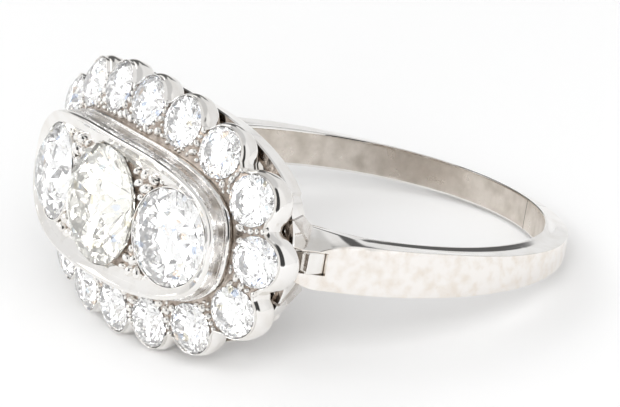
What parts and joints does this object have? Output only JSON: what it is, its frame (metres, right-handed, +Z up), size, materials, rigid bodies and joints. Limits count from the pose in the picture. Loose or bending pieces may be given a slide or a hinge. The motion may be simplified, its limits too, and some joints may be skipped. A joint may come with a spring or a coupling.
{
  "type": "engagement ring",
  "caption": "Finger ring in polished white metal: round diamonds in a raised oblong bezel, framed by a scalloped halo of small diamonds on a pierced gallery and tapered forked shank.",
  "frame": {"origin": "centre of the finger hole, at the middle of the hoop's width", "axes": "the ring lies on a table: +Z up, the head towards -Y, +X along the head's long side; the finger's axis leans 14.5 degrees from +Z towards +Y"},
  "size_m": [0.0202, 0.0224, 0.0113],
  "materials": {
    "metal": "polished",
    "diamond": "polished"
  },
  "bodies": {
    "root": {"shank_left": "metal", "shank_right": "metal", "end_block_left": "metal", "end_block_right": "metal", "gallery": "metal", "cluster_plate": "metal", "bezel_wall": "metal", "trio_plate": "metal", "centre_diamond": "diamond", "left_diamond": "diamond", "right_diamond": "diamond", "halo_diamond_01": "diamond", "halo_diamond_02": "diamond", "halo_diamond_03": "diamond", "halo_diamond_04": "diamond", "halo_diamond_05": "diamond", "halo_diamond_06": "diamond", "halo_diamond_07": "diamond", "halo_diamond_08": "diamond", "halo_diamond_09": "diamond", "halo_diamond_10": "diamond", "halo_diamond_11": "diamond", "halo_diamond_12": "diamond", "halo_diamond_13": "diamond", "halo_diamond_14": "diamond", "halo_diamond_15": "diamond", "halo_diamond_16": "diamond"}
  },
  "joints": []
}
